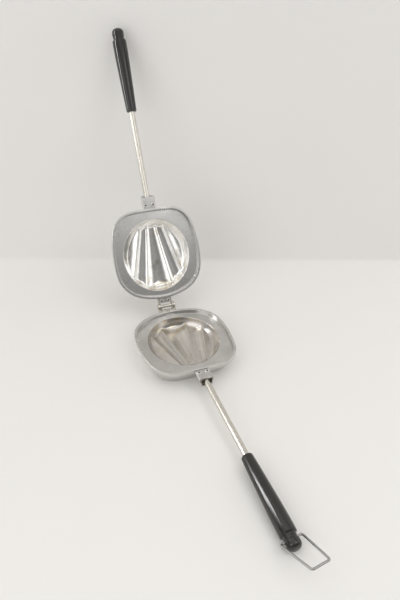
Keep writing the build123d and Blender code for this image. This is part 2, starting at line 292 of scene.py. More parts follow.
def keep_own_place(obj, half):
    """Stores each point's place in its own half, so that a finish runs the same way on both halves."""
    back = HALVES[half].inverted()
    shift = 0.0 if half == "lower" else 0.37
    attribute = obj.data.attributes.new("own_place", "FLOAT_VECTOR", "POINT")
    for point, stored in zip(obj.data.vertices, attribute.data):
        place = back @ point.co
        stored.vector = (place.x + shift, place.y, place.z + shift)


def bake_place(obj, place):
    """Moves the mesh itself, so that the object stays at the origin."""
    obj.data.transform(place)
    obj.data.update()


def seat(obj, half, body, node, finish):
    """Gives a finished piece its finish, its place in the part and the solid that it stands for."""
    keep_own_place(obj, half)
    if finish is not None:
        obj.data.materials.clear()
        obj.data.materials.append(finish)
    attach(obj, body)
    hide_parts(node)
    return obj


def copied(obj, name):
    """A copy of a piece with its own mesh."""
    pick(obj)
    bpy.ops.object.duplicate(linked=False)
    return named(name)


def joined(first, *others):
    """Joins pieces into the first one."""
    deselect_all()
    for obj in (first, *others):
        obj.select_set(True)
    bpy.context.view_layer.objects.active = first
    bpy.ops.object.join()
    return first


def from_solid(node, name):
    """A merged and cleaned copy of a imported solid, ready to be worked on."""
    source = frame["nodes"][node]
    pick(source)
    bpy.ops.object.duplicate(linked=False)
    obj = named(name)
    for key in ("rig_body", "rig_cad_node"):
        if key in obj:
            del obj[key]
    obj.parent = None
    obj.matrix_world = Matrix.Identity(4)
    edit()
    bpy.ops.mesh.customdata_custom_splitnormals_clear()
    bpy.ops.mesh.remove_doubles(threshold=2e-6)
    bpy.ops.mesh.dissolve_limited(angle_limit=radians(0.6))
    bpy.ops.mesh.normals_make_consistent(inside=False)
    leave_edit()
    return obj


def turned(name, profile, steps=64):
    """A turned piece about Z: one point drawn along the profile of (radius, height), then spun."""
    deselect_all()
    bpy.ops.mesh.primitive_plane_add(size=0.001)
    obj = named(name)
    edit()
    bpy.ops.mesh.merge(type="CENTER")
    radius, height = profile[0]
    bpy.ops.transform.translate(value=(radius, 0, height))
    for (r0, h0), (r1, h1) in zip(profile, profile[1:]):
        bpy.ops.mesh.extrude_vertices_move(TRANSFORM_OT_translate={"value": (r1 - r0, 0, h1 - h0)})
    bpy.ops.mesh.select_all(action="SELECT")
    bpy.ops.mesh.spin(steps=steps, angle=2 * pi, center=(0, 0, 0), axis=(0, 0, 1))
    leave_edit()
    tidy_mesh(obj)
    return obj


def arc(centre, radius, start, end, steps):
    """Points on an arc in (radius, height), angles in degrees."""
    angles = [radians(start + (end - start) * i / steps) for i in range(steps + 1)]
    return [(centre[0] + radius * cos(a), centre[1] + radius * sin(a)) for a in angles]


def wrapped(name, rings):
    """A closed skin through a stack of closed rings: a grid whose rows are laid on them."""
    rows, columns = rings.shape[:2]
    deselect_all()
    bpy.ops.mesh.primitive_grid_add(x_subdivisions=columns, y_subdivisions=rows - 1, size=0.1)
    obj = named(name)
    closed = np.concatenate([rings, rings[:, :1]], axis=1)
    obj.data.vertices.foreach_set("co", closed.reshape(-1).astype(np.float32))
    obj.data.update()
    tidy_mesh(obj)
    return obj


# ---------------------------------------------------------------- finishes

class Finish:
    """A material made of nodes, with one surface shader at its end."""

    def __init__(self, name):
        self.material = bpy.data.materials.new(name)
        self.material.use_nodes = True
        self.tree = self.material.node_tree
        self.tree.nodes.clear()
        self.shader = self.node("ShaderNodeBsdfPrincipled")
        output = self.node("ShaderNodeOutputMaterial")
        self.link(self.shader.outputs["BSDF"], output.inputs["Surface"])

    def node(self, kind, **settings):
        made = self.tree.nodes.new(kind)
        for key, value in settings.items():
            if key in made.inputs:
                made.inputs[key].default_value = value
            else:
                setattr(made, key.lower(), value)
        return made

    def link(self, output, socket):
        self.tree.links.new(output, socket)

    def place(self, scale=(1, 1, 1)):
        """The point's place in its own half, stretched by scale."""
        source = self.node("ShaderNodeAttribute", attribute_name="own_place")
        mapping = self.node("ShaderNodeMapping")
        mapping.inputs["Scale"].default_value = scale
        self.link(source.outputs["Vector"], mapping.inputs["Vector"])
        return mapping.outputs["Vector"]

    def reach(self, stops):
        """A pattern that runs from the hinge (0) to the handle (1) of its own half."""
        split = self.node("ShaderNodeSeparateXYZ")
        self.link(self.place((1, -8, 1)), split.inputs["Vector"])
        return self.ramp(split.outputs["Y"], stops)

    def upper_half(self):
        """0 on the lower half, 1 on the upper one."""
        split = self.node("ShaderNodeSeparateXYZ")
        self.link(self.place(), split.inputs["Vector"])
        return self.ramp(split.outputs["X"], [(0.16, 0.0), (0.20, 1.0)])

    def noise(self, scale, stretch=(1, 1, 1), detail=4.0, roughness=0.55):
        """Cloudy pattern, scale per metre."""
        made = self.node("ShaderNodeTexNoise", Scale=scale, Detail=detail, Roughness=roughness)
        self.link(self.place(stretch), made.inputs["Vector"])
        return made.outputs["Fac"]

    def ramp(self, value, stops):
        """Maps a value to a grey or a colour."""
        made = self.node("ShaderNodeValToRGB")
        elements = made.color_ramp.elements
        while len(elements) < len(stops):
            elements.new(0.5)
        for element, (position, tone) in zip(elements, stops):
            element.position = position
            element.color = (*tone, 1) if isinstance(tone, tuple) else (tone, tone, tone, 1)
        self.link(value, made.inputs["Fac"])
        return made.outputs["Color"]

    def mix(self, share, first, second, blend="MIX"):
        """Mixes two colours by a share; each may be a socket or a colour."""
        made = self.node("ShaderNodeMix", data_type="RGBA", blend_type=blend)
        sockets = [s for s in made.inputs if s.enabled]
        for socket, value in zip(sockets, (share, first, second)):
            if isinstance(value, bpy.types.NodeSocket):
                self.link(value, socket)
            elif isinstance(value, tuple):
                socket.default_value = (*value[:3], 1)
            else:
                socket.default_value = value
        return next(s for s in made.outputs if s.enabled)

    def bump(self, height, strength, distance, below=None):
        """Raises the surface by a pattern, over the bump that is already there."""
        made = self.node("ShaderNodeBump", Strength=strength, Distance=distance)
        self.link(height, made.inputs["Height"])
        if below is not None:
            self.link(below, made.inputs["Normal"])
        return made.outputs["Normal"]

    def set(self, **values):
        """Sets or links the shader's sockets."""
        for key, value in values.items():
            socket = self.shader.inputs[key.replace("_", " ")]
            if isinstance(value, bpy.types.NodeSocket):
                self.link(value, socket)
            elif isinstance(value, tuple):
                socket.default_value = (*value[:3], 1)
            else:
                socket.default_value = value


def tinted(base, factor):
    """A colour made lighter or darker."""
    return tuple(min(1.0, channel * factor) for channel in base[:3])


def cast_metal(settings):
    """Outer walls: as cast and lightly tumbled, with a fine grain."""
    finish = Finish("cast_aluminium_wall")
    base = tuple(settings.finish.aluminium)
    clouds = finish.noise(90, detail=6)
    grain = finish.noise(2600, detail=3)
    tone = finish.ramp(clouds, [(0.3, tinted(base, 0.90)), (0.7, tinted(base, 1.05))])
    rough = finish.ramp(clouds, [(0.3, 0.36), (0.72, 0.50)])
    normal = finish.bump(grain, 0.35, 0.0001)
    normal = finish.bump(clouds, 0.15, 0.0006, normal)
    finish.set(Base_Color=tone, Metallic=1.0, Roughness=rough, Normal=normal)
    return finish.material


def machined_metal(settings):
    """Rim and ledge: faced across, with fine lines and the odd rubbed patch."""
    finish = Finish("machined_aluminium_face")
    base = tuple(settings.finish.aluminium)
    lines = finish.noise(55, stretch=(1.0, 46.0, 6.0), detail=5, roughness=0.7)
    patches = finish.noise(45, detail=5)
    rubbed = finish.noise(300, detail=6, roughness=0.7)
    tone = finish.ramp(patches, [(0.25, tinted(base, 0.76)), (0.5, tinted(base, 0.90)), (0.8, base)])
    tone = finish.mix(finish.ramp(rubbed, [(0.60, 0.0), (0.68, 0.7)]), tone, tinted(base, 0.62))
    streaks = finish.ramp(lines, [(0.35, 0.94), (0.65, 1.0)])
    tone = finish.mix(1.0, tone, streaks, "MULTIPLY")
    rough = finish.ramp(patches, [(0.25, 0.36), (0.75, 0.24)])
    normal = finish.bump(lines, 0.10, 0.0002)
    normal = finish.bump(rubbed, 0.10, 0.0001, normal)
    finish.set(Base_Color=tone, Metallic=1.0, Roughness=rough, Normal=normal)
    return finish.material


def polished_metal(settings):
    """Shell cavity: polished by hand, a little wavy, with burnt-on oil in places."""
    finish = Finish("polished_aluminium_shell")
    base = tuple(settings.finish.polished)
    waves = finish.noise(70, detail=2, roughness=0.4)
    scratches = finish.noise(160, stretch=(7.0, 1.0, 4.0), detail=6, roughness=0.7)
    oil = finish.noise(48, detail=7, roughness=0.62)
    upper = finish.upper_half()
    tarnished = tuple(settings.finish.tarnished)
    streaks = finish.ramp(scratches, [(0.35, 0.0), (0.7, 1.0)])
    dulled = finish.mix(streaks, tinted(tarnished, 0.90), tinted(tarnished, 1.08))
    tone = finish.mix(upper, dulled, tinted(base, 1.02))
    stain = finish.ramp(oil, [(0.56, 0.0), (0.70, 0.55)])
    tone = finish.mix(stain, tone, (0.50, 0.43, 0.30))
    spots = finish.ramp(finish.noise(150, detail=3), [(0.52, 0.0), (0.58, 0.62)])
    burnt = finish.mix(1.0, finish.reach([(0.22, 1.0), (0.36, 0.0)]), spots, "MULTIPLY")
    tone = finish.mix(burnt, tone, (0.56, 0.47, 0.30))
    bright = finish.ramp(scratches, [(0.3, 0.19), (0.75, 0.26)])
    dull = finish.ramp(scratches, [(0.3, 0.20), (0.75, 0.29)])
    rough = finish.mix(upper, dull, bright)
    normal = finish.bump(waves, 0.22, 0.0010)
    normal = finish.bump(scratches, 0.05, 0.0001, normal)
    finish.set(Base_Color=tone, Metallic=1.0, Roughness=rough, Normal=normal)
    return finish.material


def plain_metal(name, base, shades, roughs, rise, tone, rough, grain, metallic=1.0):
    """A metal with a pattern each for its tone, its roughness and its grain.

    shades are the factors of the base colour and roughs the roughnesses, each at the low and the high end
    of its pattern.
    """
    finish = Finish(name)
    low, high = 0.3, 0.7
    colours = [(low, tinted(base, shades[0])), (high, tinted(base, shades[1]))]
    finish.set(
        Base_Color=finish.ramp(finish.noise(**tone), colours),
        Metallic=metallic,
        Roughness=finish.ramp(finish.noise(**rough), [(low, roughs[0]), (high, roughs[1])]),
        Normal=finish.bump(finish.noise(**grain), rise, 0.0001),
    )
    return finish.material


def plated_steel(settings):
    """Shanks: bright nickel plate, drawn along the handle."""
    lines = {"scale": 60, "stretch": (38.0, 1.0, 38.0), "detail": 5, "roughness": 0.65}
    return plain_metal("nickel_plated_steel", tuple(settings.finish.nickel), (0.90, 1.06), (0.20, 0.34), 0.07,
                       {"scale": 110, "detail": 5}, lines, lines)


def sleeve_steel(settings):
    """Handle sleeves: pressed steel sheet, greyer than the shanks, with rolling marks."""
    lines = {"scale": 80, "stretch": (1.0, 20.0, 1.0), "detail": 4}
    return plain_metal("pressed_sleeve_steel", tuple(settings.finish.sleeve), (0.84, 1.08), (0.30, 0.44),
                       0.08, {"scale": 170, "detail": 5}, lines, lines)


def hinge_steel(settings):
    """Hinge leaves and pin: pressed sheet, with a cloudy tone and roughness."""
    clouds = {"scale": 240, "detail": 5}
    return plain_metal("pressed_hinge_steel", tinted(tuple(settings.finish.nickel), 0.92), (0.82, 1.08),
                       (0.40, 0.24), 0.12, clouds, clouds, {"scale": 1500, "detail": 3})


def rivet_metal(settings):
    """Rivets: soft bright metal, marked by the setting tool."""
    marks = {"scale": 900, "detail": 4}
    return plain_metal("set_rivet_metal", tinted(tuple(settings.finish.aluminium), 1.04), (0.88, 1.0),
                       (0.22, 0.38), 0.14, marks, marks, marks)


def painted_dimple_shade(settings):
    """Dimples in the rivets: dull, and darkened as painted shade for the shade in their hollows."""
    shade_pattern = {"scale": 1200, "detail": 4}
    return plain_metal("painted_shade_rivet_dimple", tinted(tuple(settings.finish.aluminium), 0.22), (0.5, 1.0),
                       (0.45, 0.7), 0.2, shade_pattern, shade_pattern, shade_pattern, metallic=0.6)


def drawn_wire(settings):
    """Wire loop: drawn steel, with faint die lines and dull patches."""
    clouds = {"scale": 300, "detail": 4}
    return plain_metal("drawn_steel_wire", tuple(settings.finish.wire), (0.82, 1.0), (0.24, 0.40), 0.08,
                       clouds, clouds, {"scale": 1800, "detail": 2})


def moulded_phenolic(settings):
    """Grips: black phenolic, glossy, a little dulled where the hand rubs it."""
    finish = Finish("black_phenolic_grip")
    base = tuple(settings.finish.phenolic)
    worn = finish.noise(30, stretch=(1.0, 0.25, 1.0), detail=3)
    dust = finish.noise(2200, detail=2)
    rough = finish.ramp(worn, [(0.3, 0.15), (0.75, 0.22)])
    tone = finish.ramp(worn, [(0.35, base), (0.8, tinted(base, 1.3))])
    normal = finish.bump(dust, 0.02, 0.0001)
    finish.set(Base_Color=tone, Roughness=rough, Normal=normal)
    finish.shader.inputs["IOR"].default_value = 1.56
    return finish.material


def paper(settings):
    """Floor and backdrop: matt pale paper, which the camera sees through from behind."""
    finish = Finish("pale_paper")
    base = tuple(settings.stage.paper)
    source = finish.node("ShaderNodeTexCoord")
    clouds = finish.node("ShaderNodeTexNoise", Scale=1.4, Detail=3.0)
    finish.link(source.outputs["Object"], clouds.inputs["Vector"])
    tone = finish.ramp(clouds.outputs["Fac"], [(0.3, tinted(base, 0.985)), (0.7, base)])
    finish.set(Base_Color=tone, Roughness=0.9)
    behind = finish.node("ShaderNodeMath", operation="MULTIPLY")
    finish.link(finish.node("ShaderNodeNewGeometry").outputs["Backfacing"], behind.inputs[0])
    finish.link(finish.node("ShaderNodeLightPath").outputs["Is Camera Ray"], behind.inputs[1])
    open_back = finish.node("ShaderNodeMixShader")
    finish.link(behind.outputs["Value"], open_back.inputs["Fac"])
    finish.link(finish.shader.outputs["BSDF"], open_back.inputs[1])
    finish.link(finish.node("ShaderNodeBsdfTransparent").outputs["BSDF"], open_back.inputs[2])
    output = next(node for node in finish.tree.nodes if node.type == "OUTPUT_MATERIAL")
    finish.link(open_back.outputs["Shader"], output.inputs["Surface"])
    return finish.material


# ---------------------------------------------------------------- the heads

def tangent_centre(first, second, near, radius):
    """Centre of a corner that touches two crowns from inside; each crown is (centre, radius)."""
    (c1, r1), (c2, r2) = first, second
    a, b = r1 - radius, r2 - radius
    span = c2 - c1
    along = (a * a - b * b + span.length_squared) / (2 * span.length)
    across = (max(0.0, a * a - along * along)) ** 0.5
    middle = c1 + span.normalized() * along
    side = Vector((-span.y, span.x)).normalized() * across
    return min((middle + side, middle - side), key=lambda point: (point - near).length)


def outline_run(centre, radius, start, end, count):
    """Points and outward directions on one arc, from one direction to another the short way."""
    a0 = atan2(start.y - centre.y, start.x - centre.x)
    turn = (atan2(end.y - centre.y, end.x - centre.x) - a0 + pi) % (2 * pi) - pi
    rows = []
    for i in range(count):
        a = a0 + turn * i / count
        rows.append((centre.x + radius * cos(a), centre.y + radius * sin(a), cos(a), sin(a)))
    return rows


def head_outline(head, spacing=0.0011):
    """The rim's outline as rows of x, y and outward direction, all the way round."""
    hinge_side = (Vector((0, -head.near - head.hinge_crown)), head.hinge_crown)
    handle_side = (Vector((0, head.handle_crown - head.far)), head.handle_crown)
    right = (Vector((head.width / 2 - head.side_crown, -head.widest)), head.side_crown)
    hinge_corner = tangent_centre(hinge_side, right, Vector((head.width / 2, -head.near)), head.hinge_corner)
    handle_corner = tangent_centre(handle_side, right, Vector((head.width / 2, -head.far)),
                                   head.handle_corner)

    def touch(crown, corner):
        direction = (corner - crown[0]).normalized()
        return crown[0] + direction * crown[1]

    stops = [
        (handle_side[0], head.handle_crown, Vector((0, -head.far)), touch(handle_side, handle_corner)),
        (handle_corner, head.handle_corner, touch(handle_side, handle_corner), touch(right, handle_corner)),
        (right[0], head.side_crown, touch(right, handle_corner), touch(right, hinge_corner)),
        (hinge_corner, head.hinge_corner, touch(right, hinge_corner), touch(hinge_side, hinge_corner)),
        (hinge_side[0], head.hinge_crown, touch(hinge_side, hinge_corner), Vector((0, -head.near))),
    ]
    rows = []
    for centre, radius, start, end in stops:
        count = max(4, round((end - start).length / spacing))
        rows += outline_run(centre, radius, start, end, count)
    rows.append((0, -head.near, 0, 1))
    mirrored = [(-x, y, -dx, dy) for x, y, dx, dy in rows[-2:0:-1]]
    return np.array(rows + mirrored)


def smooth_max(first, second, soft):
    """The larger of two heights, with a rounded valley where they cross."""
    share = np.maximum(soft - np.abs(first - second), 0) / soft
    return np.maximum(first, second) + share * share * soft / 4


def fan_height(shell, x, reach):
    """Height of the fluted floor: five hollows between four rounded crests."""
    x = np.abs(x)
    floor = -(shell.crest_depth - 0.6 * (reach - shell.deepest) ** 2)
    inner = 0.14 * (shell.inner_meet - reach)
    outer = 0.262 * (shell.outer_meet - reach)
    beyond = shell.width / 2 + outer / 2
    half = shell.crest_width / 2

    def hollow(x0, z0, x1, z1):
        t = np.clip((x - x0) / (x1 - x0), 0, 1)
        return z0 + (z1 - z0) * t - 4 * 0.15 * (x1 - x0) * t * (1 - t)

    def crest(middle, z):
        t = (x - middle) / half
        return z + shell.crest_rise * (1 - t * t)

    lifted = floor + shell.outer_lift
    height = hollow(-inner + half, floor, inner - half, floor)
    height = np.where(x > inner - half, crest(inner, floor), height)
    height = np.where(x > inner + half, hollow(inner + half, floor, outer - half, lifted), height)
    height = np.where(x > outer - half, crest(outer, lifted), height)
    beyond_height = floor + 2.5 * shell.outer_lift
    return np.where(x > outer + half, hollow(outer + half, lifted, beyond, beyond_height), height)


def bowl_height(shell, ledge, x, reach):
    """Height of the steep-sided bowl: the depth at which its shrinking, leaning ellipse passes each point."""
    steps = np.array([(-0.006, -0.0035), (-0.0015, -0.0008), (0, 0), (0.004, 0.0022), (0.008, 0.0052),
                      (0.0115, 0.0092), (0.0145, 0.0165), (0.0175, 0.030), (0.0185, 0.0425)])
    low, high = np.full(x.shape, steps[0, 0]), np.full(x.shape, steps[-1, 0])
    for _ in range(36):
        depth = (low + high) / 2
        inset = rounded_steps(steps[:, 0], steps[:, 1], depth)
        middle = shell.reach - shell.lean * np.maximum(depth, 0)
        half_wide, half_long = shell.width / 2 - inset, shell.length / 2 - inset
        outside = (x / half_wide) ** 2 + ((reach - middle) / half_long) ** 2 > 1
        high = np.where(outside, depth, high)
        low = np.where(outside, low, depth)
    return -ledge - low


def rounded_steps(positions, values, wanted):
    """A smooth curve through given steps, read at the wanted positions."""
    slopes = np.gradient(values, positions)
    index = np.clip(np.searchsorted(positions, wanted) - 1, 0, len(positions) - 2)
    x0, x1 = positions[index], positions[index + 1]
    y0, y1 = values[index], values[index + 1]
    t = np.clip((wanted - x0) / (x1 - x0), 0, 1)
    m0, m1 = slopes[index] * (x1 - x0), slopes[index + 1] * (x1 - x0)
    return ((2 * t**3 - 3 * t**2 + 1) * y0 + (t**3 - 2 * t**2 + t) * m0
            + (-2 * t**3 + 3 * t**2) * y1 + (t**3 - t**2) * m1)


def head_rings(head, shell):
    """Closed rings from the middle of the recess, round the wall and rim, to the middle of the shell."""
    outline = head_outline(head)
    points, outward = outline[:, :2], outline[:, 2:]

    def level(inset, z):
        return np.column_stack([points - outward * inset, np.full(len(points), z)])

    def base(inset, z):
        ring = level(inset, z)
        ring[:, 1] = ring[:, 1] * 1.025 + head.base_shift
        return ring

    face = -head.gap / 2
    band_foot = face - head.band
    drawn_in = (head.depth + band_foot) * tan(radians(23))
    corner = base(drawn_in, -head.depth)
    top = level(0, band_foot)
    base_middle = [0, -(head.near + head.far) / 2 + head.base_shift, head.recess - head.depth]
    rings = [np.tile(base_middle, (len(points), 1))]
    recess_inset = drawn_in + head.foot
    for share in (0.35, 0.7, 0.97):
        edge_ring = base(recess_inset + head.recess, head.recess - head.depth)
        rings.append(rings[0] * (1 - share) + edge_ring * share)
    rings.append(base(recess_inset + head.recess, head.recess - head.depth))
    rings.append(base(recess_inset, -head.depth))
    flat = base(drawn_in + head.base_edge, -head.depth)
    wall = corner + (top - corner) * (head.base_edge / (head.depth + band_foot))
    for t in (0, 0.2, 0.4, 0.6, 0.8, 1):
        rings.append((1 - t) ** 2 * flat + 2 * t * (1 - t) * corner + t * t * wall)
    for t in (0.12, 0.3, 0.5, 0.7, 0.88, 0.965):
        rings.append(wall + (top - wall) * t)
    rings.append(level(0.00003, band_foot + 0.0002))
    for share in (0.12, 0.5, 0.88):
        rings.append(level(0, band_foot + 0.0004 + share * (head.band - head.rim_edge - 0.0005)))
    edge = head.rim_edge
    for i in range(7):
        a = pi / 2 * i / 6
        rings.append(level(edge * (1 - cos(a)), face - edge + edge * sin(a)))
    for i in range(7):
        a = pi / 2 * i / 6
        rings.append(level(head.rim - edge + edge * sin(a), face - edge + edge * cos(a)))
    ledge_inset = head.rim + head.ledge * tan(radians(6))
    soft = 0.0006
    for t in (0.35, 0.7):
        inset = head.rim + (ledge_inset - head.rim) * t
        rings.append(level(inset, face - edge - (head.ledge - edge - soft) * t))
    for i in range(5):
        a = pi / 2 * i / 4
        rings.append(level(ledge_inset - 0.00005 + soft * (1 - cos(a)), -head.ledge + soft * (1 - sin(a))))
    ledge = level(ledge_inset + soft + 0.0002, -head.ledge)
    rings.append(ledge)
    centre = np.array([0, -shell.reach])
    angle = np.arctan2(points[:, 1] - centre[1], points[:, 0])
    a, b = shell.width / 2 + 0.0012, shell.length / 2 + 0.0012
    mouth_radius = 1 / np.sqrt((np.cos(angle) / a) ** 2 + (np.sin(angle) / b) ** 2)
    direction = np.column_stack([np.cos(angle), np.sin(angle)])
    mouth = np.column_stack([centre + direction * mouth_radius[:, None], np.full(len(points), -head.ledge)])
    for t in (0.33, 0.66, 0.96):
        rings.append(ledge + (mouth - ledge) * t)
    rows = 112
    for k in range(rows + 1):
        share = 1 - (k / rows) ** 1.35
        x, y = (centre + direction * (mouth_radius * share)[:, None]).T
        fan = fan_height(shell, x, -y)
        bowl = bowl_height(shell, head.ledge, x, -y)
        inside = smooth_max(fan, bowl, 0.0016)
        z = -smooth_max(-inside, np.full(len(x), head.ledge), 0.0007)
        rings.append(np.column_stack([x, y, z]))
    return np.array(rings)


def block(name, lowest, highest, taper=1.0, edge=0.0006):
    """A cast lug: a cube at its size and place, its foot drawn in, its edges rounded."""
    deselect_all()
    lowest, highest = Vector(lowest), Vector(highest)
    bpy.ops.mesh.primitive_cube_add(size=1)
    obj = named(name)
    edit()
    bpy.ops.transform.resize(value=highest - lowest)
    bpy.ops.transform.translate(value=(highest + lowest) / 2)
    mesh = bmesh.from_edit_mesh(obj.data)
    for vertex in mesh.verts:
        vertex.select_set(vertex.co.z < (lowest.z + highest.z) / 2)
    mesh.select_flush_mode()
    bmesh.update_edit_mesh(obj.data)
    bpy.ops.transform.resize(value=(taper, 1, 1), center_override=(0, 0, 0))
    bpy.ops.mesh.select_all(action="SELECT")
    bpy.ops.mesh.subdivide(number_cuts=1)
    leave_edit()
    soften_edges(obj, edge, 3)
    return obj


def assign_by_place(obj, rule):
    """Gives each face the finish that a rule reads from its middle and its direction."""
    for face in obj.data.polygons:
        face.material_index = rule(face.center, face.normal)


class PIEIRON_OT_heads(bpy.types.Operator):
    """Model the two cast heads with their rims, ledges and shell cavities"""

    bl_idname = "pieiron.heads"
    bl_label = "Heads"

    def execute(self, context):
        settings = context.scene.pie_iron
        head, shell = settings.head, settings.shell
        finishes = [cast_metal(settings), machined_metal(settings), polished_metal(settings)]
        skin = wrapped("head_casting", head_rings(head, shell))
        shade(skin, 50)
        for finish in finishes:
            skin.data.materials.append(finish)
        a, b = shell.width / 2 + 0.0003, shell.length / 2 + 0.0003

        def rule(middle, direction):
            within = (middle.x / a) ** 2 + ((middle.y + shell.reach) / b) ** 2 < 1
            if within and middle.z > -head.depth + head.recess:
                return 2 if middle.z > -0.0205 and direction.z > 0.02 else 0
            inside = middle.z > -head.ledge - 0.001 and direction.z > -0.2
            near_rim = middle.z > -head.rim_edge or inside and abs(direction.z) > 0.1
            return 1 if near_rim else 0

        assign_by_place(skin, rule)
        handle_lug = block("handle_lug", (-0.0077, -0.1375, -0.01055),
                           (0.0077, -head.far + 0.003, -0.00285), 0.7)
        hinge_lug = block("hinge_lug", (-0.0068, -head.near - 0.004, -0.0086),
                          (0.0068, -0.0053, -0.0028), 1.0)
        for lug in (handle_lug, hinge_lug):
            lug.data.materials.append(finishes[0])
        casting = joined(skin, handle_lug, hinge_lug)
        for half, place in HALVES.items():
            piece = copied(casting, f"{half}_head_casting")
            bake_place(piece, place)
            seat(piece, half, f"{half}_half", f"{half}_head", None)
        bpy.data.objects.remove(casting)
        return {"FINISHED"}


# ---------------------------------------------------------------- handles

def handle_axis(handle, reach):
    """Place and direction of the handle's axis at one reach: Z runs toward the nose."""
    slope = 0.044
    origin = Vector((0, -reach, -handle.axis_depth - slope * (reach - handle.sleeve_end)))
    along = Vector((0, -1, -slope)).normalized()
    side = Vector((1, 0, 0))
    up = along.cross(side)
    turn = Matrix((side, up, along)).transposed().to_4x4()
    return Matrix.Translation(origin) @ turn


class PIEIRON_OT_sleeves(bpy.types.Operator):
    """Model the folded steel sleeves that hold the shanks to the heads"""

    bl_idname = "pieiron.sleeves"
    bl_label = "Handle sleeves"

    def execute(self, context):
        finish = sleeve_steel(context.scene.pie_iron)
        for half in HALVES:
            node = f"{half}_handle_sleeve"
            piece = from_solid(node, f"{half}_folded_sleeve")
            soften_edges(piece, 0.00022)
            seat(piece, half, f"{half}_half", node, finish)
        return {"FINISHED"}


class PIEIRON_OT_shanks(bpy.types.Operator):
    """Model the two straight steel rods"""

    bl_idname = "pieiron.shanks"
    bl_label = "Shanks"

    def execute(self, context):
        settings = context.scene.pie_iron
        handle = settings.handle
        finish = plated_steel(settings)
        span = handle.shank_end - handle.shank_start
        radius = handle.shank / 2
        edge = 0.0006
        rings = 24
        profile = [(0, 0), (radius - edge, 0), (radius, edge)]
        profile += [(radius, edge + (span - 2 * edge) * (i + 1) / rings) for i in range(rings)]
        profile += [(radius - edge, span), (0, span)]
        rod = turned("rod", profile, 48)
        shade(rod)
        bake_place(rod, handle_axis(handle, handle.shank_start))
        for half, place in HALVES.items():
            piece = copied(rod, f"{half}_steel_shank")
            bake_place(piece, place)
            seat(piece, half, f"{half}_half", f"{half}_shank", finish)
        bpy.data.objects.remove(rod)
        return {"FINISHED"}


def grip_profile(handle):
    """Half section of a grip, from its bore round the outside to its nose."""
    total = handle.grip_end - handle.grip_start
    swell = handle.swell_reach - handle.grip_start
    shoulder = handle.shoulder - handle.grip_start
    groove_end = shoulder + handle.groove_width
    neck, widest = handle.neck / 2, handle.swell / 2
    edge = 0.0012
    bore = handle.shank / 2 + 0.00003
    bore_end = handle.shank_end - handle.grip_start + 0.001
    profile = [(0, bore_end), (bore, bore_end)]
    profile += [(bore, 0.0004), (bore + 0.0004, 0)]
    profile += arc((neck - edge, edge), edge, -90, 0, 5)
    middle = (neck + 0.62 * (widest - neck), 0.5 * swell)
    for i in range(1, 41):
        s = edge + (swell - edge) * i / 40
        profile.append((spline_radius(s, (neck, edge), middle, (widest, swell)), s))
    profile += [(widest - 0.0001, (swell + shoulder - 0.0012) / 2), (widest - 0.0002, shoulder - 0.0012)]
    profile += [(handle.groove / 2, shoulder), (handle.groove / 2, groove_end)]
    nose, rounding = handle.nose / 2, handle.nose_round
    profile += [(nose, groove_end + 0.0006), (nose, total - rounding - 0.0002)]
    profile += arc((nose - rounding, total - rounding), rounding, 0, 84, 10)
    profile += [(0.001, total), (0, total)]
    return profile


def spline_radius(s, start, middle, end):
    """Radius of the slow swell at one height, through three points, upright at the swell."""
    h = (end[1] - start[1]) / 2
    slope0, slope2 = 0.05, 0.0
    slope1 = (3 * (end[0] - start[0]) / h - slope0 - slope2) / 4
    before = s < middle[1]
    first, second, m0, m1 = (start, middle, slope0, slope1) if before else (middle, end, slope1, slope2)
    span = second[1] - first[1]
    t = (s - first[1]) / span
    return ((2 * t**3 - 3 * t**2 + 1) * first[0] + (t**3 - 2 * t**2 + t) * m0 * span
            + (-2 * t**3 + 3 * t**2) * second[0] + (t**3 - t**2) * m1 * span)


class PIEIRON_OT_grips(bpy.types.Operator):
    """Model the two moulded grips, with the groove and the cross hole near their noses"""

    bl_idname = "pieiron.grips"
    bl_label = "Grips"

    def execute(self, context):
        settings = context.scene.pie_iron
        handle, loop = settings.handle, settings.loop
        finish = moulded_phenolic(settings)
        grip = turned("grip", grip_profile(handle), 72)
        soften_edges(grip, 0.0005, 3, 20)
        bake_place(grip, handle_axis(handle, handle.grip_start))
        deselect_all()
        bpy.ops.mesh.primitive_cylinder_add(vertices=32, radius=loop.wire / 2 + 0.00008,
                                            depth=handle.swell + 0.004)
        drill = named("drill")
        pivot = LOWER.inverted() @ Vector(LOOP["pos_m"])
        across = Vector(LOOP["axis"]).to_track_quat("Z", "Y").to_matrix().to_4x4()
        bake_place(drill, Matrix.Translation(pivot) @ across)
        apply_modifier(grip, "BOOLEAN", operation="DIFFERENCE", object=drill, solver="EXACT")
        bpy.data.objects.remove(drill)
        shade(grip, 40)
        for half, place in HALVES.items():
            piece = copied(grip, f"{half}_phenolic_grip")
            bake_place(piece, place)
            seat(piece, half, f"{half}_half", f"{half}_grip", finish)
        bpy.data.objects.remove(grip)
        return {"FINISHED"}


# ---------------------------------------------------------------- the hinge and the rivets

